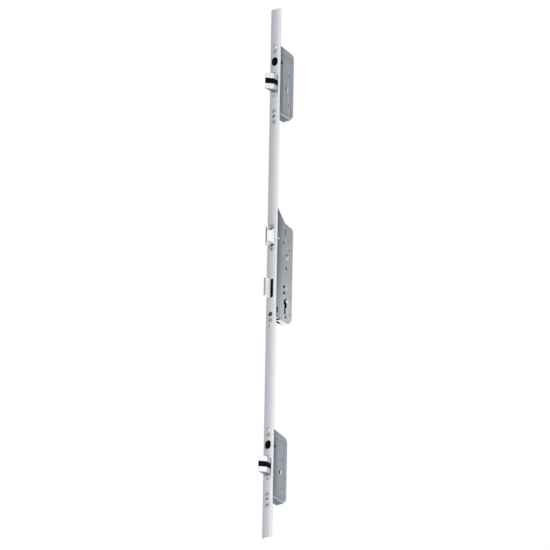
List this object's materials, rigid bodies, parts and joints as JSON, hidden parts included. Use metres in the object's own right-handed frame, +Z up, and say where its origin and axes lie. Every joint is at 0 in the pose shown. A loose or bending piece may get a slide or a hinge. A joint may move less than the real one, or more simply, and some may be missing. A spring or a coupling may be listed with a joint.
{
  "type": "multipoint door lock",
  "caption": "Multipoint door lock: long U-shaped faceplate rail with a central lock case, slanted latch, deadbolt and automatic side bolts in two side cases.",
  "frame": {"origin": "axis of the follower's square hole, on the centre plane of the cases", "axes": "+X across the faceplate towards the side that the slanted bolts face, +Y into the door, +Z up along the rail"},
  "size_m": [0.02, 0.0808, 1.065],
  "materials": {
    "satin_silver_rail": "satin silver coating",
    "zinc_plated_case": "zinc plated sheet steel",
    "zinc_fastener": "zinc plated",
    "nickel_bolt": "nickel plated, soft gloss",
    "plain_steel": "zinc plated strip",
    "cast_follower": "die cast, matte",
    "spring_steel": "oiled wire",
    "black_plastic": "moulded, satin",
    "grey_plastic": "moulded"
  },
  "bodies": {
    "lock_frame": {"faceplate_rail": "satin_silver_rail", "main_case_tray": "zinc_plated_case", "main_case_cover": "zinc_plated_case", "upper_case_tray": "zinc_plated_case", "upper_case_cover": "zinc_plated_case", "lower_case_tray": "zinc_plated_case", "lower_case_cover": "zinc_plated_case", "faceplate_screws": "zinc_fastener", "window_pins": "zinc_fastener", "main_case_posts": "zinc_fastener", "upper_case_posts": "zinc_fastener", "lower_case_posts": "zinc_fastener", "cover_rivet": "zinc_fastener", "key_gear_axle": "zinc_fastener", "upper_lever_pin": "zinc_fastener", "lower_lever_pin": "zinc_fastener", "threaded_lugs": "plain_steel", "latch_spring_seat": "plain_steel", "upper_trigger_seat": "plain_steel", "lower_trigger_seat": "plain_steel", "latch_spring": "spring_steel", "upper_trigger_spring": "spring_steel", "lower_trigger_spring": "spring_steel", "upper_trigger_guide": "black_plastic", "lower_trigger_guide": "black_plastic", "deadbolt_guide": "black_plastic", "upper_bolt_guide": "black_plastic", "lower_bolt_guide": "black_plastic", "rod_guide_clips": "grey_plastic"},
    "drive": {"upper_drive_plate": "plain_steel", "lower_drive_plate": "plain_steel", "drive_bridge": "plain_steel", "upper_rod": "plain_steel", "lower_rod": "plain_steel", "upper_cam_plate": "plain_steel", "lower_cam_plate": "plain_steel", "drive_rivets": "zinc_fastener"},
    "key_gear": {"key_gear": "plain_steel"},
    "follower": {"follower": "cast_follower"},
    "latch": {"latch_bolt": "nickel_bolt", "latch_tail": "plain_steel", "latch_rivet": "zinc_fastener"},
    "deadbolt": {"deadbolt": "nickel_bolt", "deadbolt_cam_pin": "zinc_fastener"},
    "upper_bolt": {"upper_bolt": "nickel_bolt", "upper_bolt_insert": "black_plastic", "upper_bolt_cam_pin": "zinc_fastener"},
    "upper_trigger": {"upper_trigger": "black_plastic"},
    "upper_lever": {"upper_trigger_lever": "plain_steel"},
    "lower_bolt": {"lower_bolt": "nickel_bolt", "lower_bolt_insert": "black_plastic", "lower_bolt_cam_pin": "zinc_fastener"},
    "lower_trigger": {"lower_trigger": "black_plastic"},
    "lower_lever": {"lower_trigger_lever": "plain_steel"}
  },
  "joints": [
    {"name": "drive_slide", "type": "slide", "parent": "lock_frame", "child": "drive", "axis": [0, 0, 1], "range_m": [0, 0.022]},
    {"name": "follower_turn", "type": "hinge", "parent": "lock_frame", "child": "follower", "pos_m": [0, 0, 0], "axis": [-1, 0, 0], "range_deg": [0, 40.1]},
    {"name": "latch_slide", "type": "slide", "parent": "lock_frame", "child": "latch", "axis": [0, 1, 0], "range_m": [0, 0.012], "stiffness_N_per_m": 300, "springref_m": -0.004, "deforming": ["latch_spring"]},
    {"name": "deadbolt_slide", "type": "slide", "parent": "lock_frame", "child": "deadbolt", "axis": [0, 1, 0], "range_m": [0, 0.0139]},
    {"name": "key_gear_turn", "type": "hinge", "parent": "lock_frame", "child": "key_gear", "pos_m": [0, 0, -0.062], "axis": [-1, 0, 0], "range_deg": [0, 127]},
    {"name": "upper_bolt_slide", "type": "slide", "parent": "lock_frame", "child": "upper_bolt", "axis": [0, 1, 0], "range_m": [0, 0.022]},
    {"name": "lower_bolt_slide", "type": "slide", "parent": "lock_frame", "child": "lower_bolt", "axis": [0, 1, 0], "range_m": [0, 0.022]},
    {"name": "upper_trigger_push", "type": "slide", "parent": "lock_frame", "child": "upper_trigger", "axis": [0, 1, 0], "range_m": [0, 0.003], "stiffness_N_per_m": 250, "springref_m": -0.002, "deforming": ["upper_trigger_spring"]},
    {"name": "upper_lever_turn", "type": "hinge", "parent": "lock_frame", "child": "upper_lever", "pos_m": [0, -0.02, 0.3682], "axis": [-1, 0, 0], "range_deg": [0, 10.8]},
    {"name": "lower_trigger_push", "type": "slide", "parent": "lock_frame", "child": "lower_trigger", "axis": [0, 1, 0], "range_m": [0, 0.003], "stiffness_N_per_m": 250, "springref_m": -0.002, "deforming": ["lower_trigger_spring"]},
    {"name": "lower_lever_turn", "type": "hinge", "parent": "lock_frame", "child": "lower_lever", "pos_m": [0, -0.02, -0.4053], "axis": [-1, 0, 0], "range_deg": [0, 10.8]}
  ],
  "couplings": [
    {"joint": "follower_turn", "follows": "latch_slide", "rad_per_m": 58.178},
    {"joint": "deadbolt_slide", "follows": "drive_slide", "ratio": 0.62727},
    {"joint": "key_gear_turn", "follows": "drive_slide", "rad_per_m": 100},
    {"joint": "upper_bolt_slide", "follows": "drive_slide", "ratio": 1},
    {"joint": "lower_bolt_slide", "follows": "drive_slide", "ratio": 1},
    {"joint": "upper_lever_turn", "follows": "upper_trigger_push", "rad_per_m": 62.5},
    {"joint": "lower_lever_turn", "follows": "lower_trigger_push", "rad_per_m": 62.5}
  ]
}
